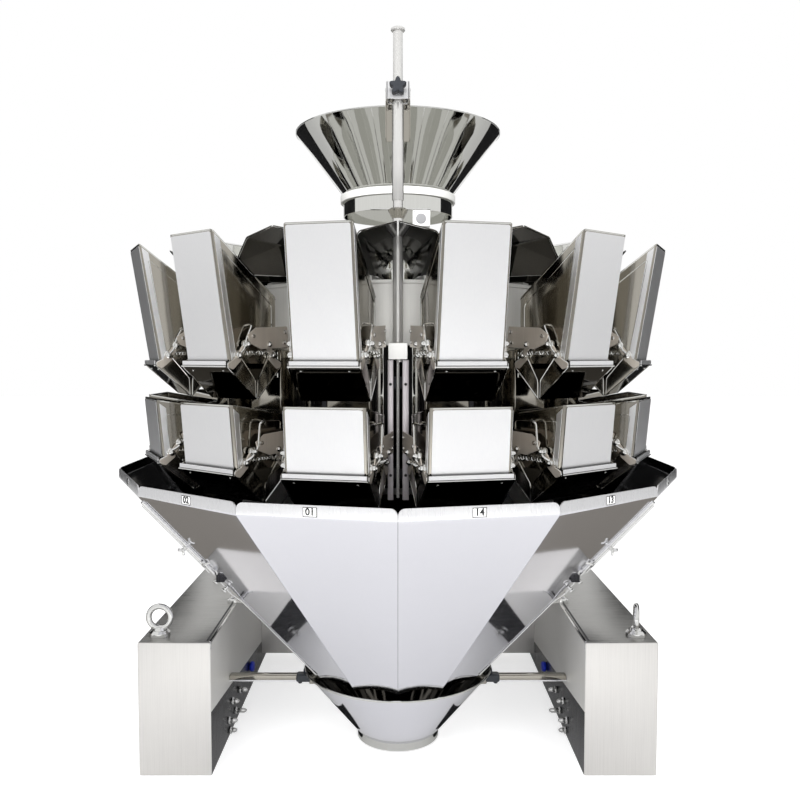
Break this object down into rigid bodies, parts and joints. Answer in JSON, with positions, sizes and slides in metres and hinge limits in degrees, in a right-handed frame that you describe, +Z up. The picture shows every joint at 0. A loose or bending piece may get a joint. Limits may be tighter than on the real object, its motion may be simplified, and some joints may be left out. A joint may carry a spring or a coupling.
{
  "type": "multihead weigher",
  "caption": "Ring of radial feed and weigh buckets round a drive drum, under an infeed funnel on a mast and over a discharge chute cone on a beam base.",
  "frame": {"origin": "on the floor below the middle of the whole machine's box, close to the drum's axis", "axes": "+Z up, -Y to the front where the mast stands, +X to the right seen from the front"},
  "size_m": [1.131, 1.16, 1.393],
  "materials": {
    "polished_steel": "mirror-polished stainless steel",
    "satin_steel": "satin stainless steel sheet",
    "brushed_steel": "brushed stainless steel",
    "dark_steel": "stainless housing in deep shade, dark satin",
    "white_plastic": "machined white food-grade plastic"
  },
  "bodies": {
    "root": {"base_beam_left": "brushed_steel", "base_beam_right": "brushed_steel", "rear_cross_box": "brushed_steel", "leg_frame": "brushed_steel", "drive_drum": "dark_steel", "feeder_drum": "satin_steel", "feeder_pans": "polished_steel", "dispersion_cone": "polished_steel", "mast": "polished_steel", "mast_block": "white_plastic", "chutes_left": "satin_steel", "chutes_right": "satin_steel", "discharge_funnel": "polished_steel", "funnel_bar_left": "satin_steel", "funnel_bar_right": "satin_steel", "head_01": "satin_steel", "head_02": "satin_steel", "head_03": "satin_steel", "head_04": "satin_steel", "head_05": "satin_steel", "head_06": "satin_steel", "head_07": "satin_steel", "head_08": "satin_steel", "head_09": "satin_steel", "head_10": "satin_steel", "head_11": "satin_steel", "head_12": "satin_steel", "head_13": "satin_steel", "head_14": "satin_steel"},
    "infeed": {"funnel_arm": "satin_steel", "infeed_funnel": "polished_steel", "funnel_collar": "white_plastic"},
    "feed_gate_01": {"feed_gate_01": "polished_steel"},
    "feed_gate_02": {"feed_gate_02": "polished_steel"},
    "feed_gate_03": {"feed_gate_03": "polished_steel"},
    "feed_gate_04": {"feed_gate_04": "polished_steel"},
    "feed_gate_05": {"feed_gate_05": "polished_steel"},
    "feed_gate_06": {"feed_gate_06": "polished_steel"},
    "feed_gate_07": {"feed_gate_07": "polished_steel"},
    "feed_gate_08": {"feed_gate_08": "polished_steel"},
    "feed_gate_09": {"feed_gate_09": "polished_steel"},
    "feed_gate_10": {"feed_gate_10": "polished_steel"},
    "feed_gate_11": {"feed_gate_11": "polished_steel"},
    "feed_gate_12": {"feed_gate_12": "polished_steel"},
    "feed_gate_13": {"feed_gate_13": "polished_steel"},
    "feed_gate_14": {"feed_gate_14": "polished_steel"},
    "weigh_gate_01": {"weigh_gate_01": "polished_steel"},
    "weigh_gate_02": {"weigh_gate_02": "polished_steel"},
    "weigh_gate_03": {"weigh_gate_03": "polished_steel"},
    "weigh_gate_04": {"weigh_gate_04": "polished_steel"},
    "weigh_gate_05": {"weigh_gate_05": "polished_steel"},
    "weigh_gate_06": {"weigh_gate_06": "polished_steel"},
    "weigh_gate_07": {"weigh_gate_07": "polished_steel"},
    "weigh_gate_08": {"weigh_gate_08": "polished_steel"},
    "weigh_gate_09": {"weigh_gate_09": "polished_steel"},
    "weigh_gate_10": {"weigh_gate_10": "polished_steel"},
    "weigh_gate_11": {"weigh_gate_11": "polished_steel"},
    "weigh_gate_12": {"weigh_gate_12": "polished_steel"},
    "weigh_gate_13": {"weigh_gate_13": "polished_steel"},
    "weigh_gate_14": {"weigh_gate_14": "polished_steel"}
  },
  "joints": [
    {"name": "infeed_height", "type": "slide", "parent": "root", "child": "infeed", "axis": [0, 0, 1], "range_m": [0, 0.06]},
    {"name": "feed_gate_01_hinge", "type": "hinge", "parent": "root", "child": "feed_gate_01", "pos_m": [-0.11048, -0.48405, 0.838], "axis": [-0.9749, 0.2225, 0], "range_deg": [0, 35], "stiffness_Nm_per_rad": 0.4, "springref_deg": -34.38},
    {"name": "feed_gate_02_hinge", "type": "hinge", "parent": "root", "child": "feed_gate_02", "pos_m": [-0.30956, -0.38818, 0.838], "axis": [-0.7818, 0.6235, 0], "range_deg": [0, 35], "stiffness_Nm_per_rad": 0.4, "springref_deg": -34.38},
    {"name": "feed_gate_03_hinge", "type": "hinge", "parent": "root", "child": "feed_gate_03", "pos_m": [-0.44733, -0.21542, 0.838], "axis": [-0.4339, 0.901, 0], "range_deg": [0, 35], "stiffness_Nm_per_rad": 0.4, "springref_deg": -34.38},
    {"name": "feed_gate_04_hinge", "type": "hinge", "parent": "root", "child": "feed_gate_04", "pos_m": [-0.4965, 0, 0.838], "axis": [0, 1, 0], "range_deg": [0, 35], "stiffness_Nm_per_rad": 0.4, "springref_deg": -34.38},
    {"name": "feed_gate_05_hinge", "type": "hinge", "parent": "root", "child": "feed_gate_05", "pos_m": [-0.44733, 0.21542, 0.838], "axis": [0.4339, 0.901, 0], "range_deg": [0, 35], "stiffness_Nm_per_rad": 0.4, "springref_deg": -34.38},
    {"name": "feed_gate_06_hinge", "type": "hinge", "parent": "root", "child": "feed_gate_06", "pos_m": [-0.30956, 0.38818, 0.838], "axis": [0.7818, 0.6235, 0], "range_deg": [0, 35], "stiffness_Nm_per_rad": 0.4, "springref_deg": -34.38},
    {"name": "feed_gate_07_hinge", "type": "hinge", "parent": "root", "child": "feed_gate_07", "pos_m": [-0.11048, 0.48405, 0.838], "axis": [0.9749, 0.2225, 0], "range_deg": [0, 35], "stiffness_Nm_per_rad": 0.4, "springref_deg": -34.38},
    {"name": "feed_gate_08_hinge", "type": "hinge", "parent": "root", "child": "feed_gate_08", "pos_m": [0.11048, 0.48405, 0.838], "axis": [0.9749, -0.2225, 0], "range_deg": [0, 35], "stiffness_Nm_per_rad": 0.4, "springref_deg": -34.38},
    {"name": "feed_gate_09_hinge", "type": "hinge", "parent": "root", "child": "feed_gate_09", "pos_m": [0.30956, 0.38818, 0.838], "axis": [0.7818, -0.6235, 0], "range_deg": [0, 35], "stiffness_Nm_per_rad": 0.4, "springref_deg": -34.38},
    {"name": "feed_gate_10_hinge", "type": "hinge", "parent": "root", "child": "feed_gate_10", "pos_m": [0.44733, 0.21542, 0.838], "axis": [0.4339, -0.901, 0], "range_deg": [0, 35], "stiffness_Nm_per_rad": 0.4, "springref_deg": -34.38},
    {"name": "feed_gate_11_hinge", "type": "hinge", "parent": "root", "child": "feed_gate_11", "pos_m": [0.4965, 0, 0.838], "axis": [0, -1, 0], "range_deg": [0, 35], "stiffness_Nm_per_rad": 0.4, "springref_deg": -34.38},
    {"name": "feed_gate_12_hinge", "type": "hinge", "parent": "root", "child": "feed_gate_12", "pos_m": [0.44733, -0.21542, 0.838], "axis": [-0.4339, -0.901, 0], "range_deg": [0, 35], "stiffness_Nm_per_rad": 0.4, "springref_deg": -34.38},
    {"name": "feed_gate_13_hinge", "type": "hinge", "parent": "root", "child": "feed_gate_13", "pos_m": [0.30956, -0.38818, 0.838], "axis": [-0.7818, -0.6235, 0], "range_deg": [0, 35], "stiffness_Nm_per_rad": 0.4, "springref_deg": -34.38},
    {"name": "feed_gate_14_hinge", "type": "hinge", "parent": "root", "child": "feed_gate_14", "pos_m": [0.11048, -0.48405, 0.838], "axis": [-0.9749, -0.2225, 0], "range_deg": [0, 35], "stiffness_Nm_per_rad": 0.4, "springref_deg": -34.38},
    {"name": "weigh_gate_01_hinge", "type": "hinge", "parent": "root", "child": "weigh_gate_01", "pos_m": [-0.11026, -0.48308, 0.66], "axis": [-0.9749, 0.2225, 0], "range_deg": [0, 45], "stiffness_Nm_per_rad": 0.4, "springref_deg": -34.38},
    {"name": "weigh_gate_02_hinge", "type": "hinge", "parent": "root", "child": "weigh_gate_02", "pos_m": [-0.30894, -0.3874, 0.66], "axis": [-0.7818, 0.6235, 0], "range_deg": [0, 45], "stiffness_Nm_per_rad": 0.4, "springref_deg": -34.38},
    {"name": "weigh_gate_03_hinge", "type": "hinge", "parent": "root", "child": "weigh_gate_03", "pos_m": [-0.44643, -0.21499, 0.66], "axis": [-0.4339, 0.901, 0], "range_deg": [0, 45], "stiffness_Nm_per_rad": 0.4, "springref_deg": -34.38},
    {"name": "weigh_gate_04_hinge", "type": "hinge", "parent": "root", "child": "weigh_gate_04", "pos_m": [-0.4955, 0, 0.66], "axis": [0, 1, 0], "range_deg": [0, 45], "stiffness_Nm_per_rad": 0.4, "springref_deg": -34.38},
    {"name": "weigh_gate_05_hinge", "type": "hinge", "parent": "root", "child": "weigh_gate_05", "pos_m": [-0.44643, 0.21499, 0.66], "axis": [0.4339, 0.901, 0], "range_deg": [0, 45], "stiffness_Nm_per_rad": 0.4, "springref_deg": -34.38},
    {"name": "weigh_gate_06_hinge", "type": "hinge", "parent": "root", "child": "weigh_gate_06", "pos_m": [-0.30894, 0.3874, 0.66], "axis": [0.7818, 0.6235, 0], "range_deg": [0, 45], "stiffness_Nm_per_rad": 0.4, "springref_deg": -34.38},
    {"name": "weigh_gate_07_hinge", "type": "hinge", "parent": "root", "child": "weigh_gate_07", "pos_m": [-0.11026, 0.48308, 0.66], "axis": [0.9749, 0.2225, 0], "range_deg": [0, 45], "stiffness_Nm_per_rad": 0.4, "springref_deg": -34.38},
    {"name": "weigh_gate_08_hinge", "type": "hinge", "parent": "root", "child": "weigh_gate_08", "pos_m": [0.11026, 0.48308, 0.66], "axis": [0.9749, -0.2225, 0], "range_deg": [0, 45], "stiffness_Nm_per_rad": 0.4, "springref_deg": -34.38},
    {"name": "weigh_gate_09_hinge", "type": "hinge", "parent": "root", "child": "weigh_gate_09", "pos_m": [0.30894, 0.3874, 0.66], "axis": [0.7818, -0.6235, 0], "range_deg": [0, 45], "stiffness_Nm_per_rad": 0.4, "springref_deg": -34.38},
    {"name": "weigh_gate_10_hinge", "type": "hinge", "parent": "root", "child": "weigh_gate_10", "pos_m": [0.44643, 0.21499, 0.66], "axis": [0.4339, -0.901, 0], "range_deg": [0, 45], "stiffness_Nm_per_rad": 0.4, "springref_deg": -34.38},
    {"name": "weigh_gate_11_hinge", "type": "hinge", "parent": "root", "child": "weigh_gate_11", "pos_m": [0.4955, 0, 0.66], "axis": [0, -1, 0], "range_deg": [0, 45], "stiffness_Nm_per_rad": 0.4, "springref_deg": -34.38},
    {"name": "weigh_gate_12_hinge", "type": "hinge", "parent": "root", "child": "weigh_gate_12", "pos_m": [0.44643, -0.21499, 0.66], "axis": [-0.4339, -0.901, 0], "range_deg": [0, 45], "stiffness_Nm_per_rad": 0.4, "springref_deg": -34.38},
    {"name": "weigh_gate_13_hinge", "type": "hinge", "parent": "root", "child": "weigh_gate_13", "pos_m": [0.30894, -0.3874, 0.66], "axis": [-0.7818, -0.6235, 0], "range_deg": [0, 45], "stiffness_Nm_per_rad": 0.4, "springref_deg": -34.38},
    {"name": "weigh_gate_14_hinge", "type": "hinge", "parent": "root", "child": "weigh_gate_14", "pos_m": [0.11026, -0.48308, 0.66], "axis": [-0.9749, -0.2225, 0], "range_deg": [0, 45], "stiffness_Nm_per_rad": 0.4, "springref_deg": -34.38}
  ]
}
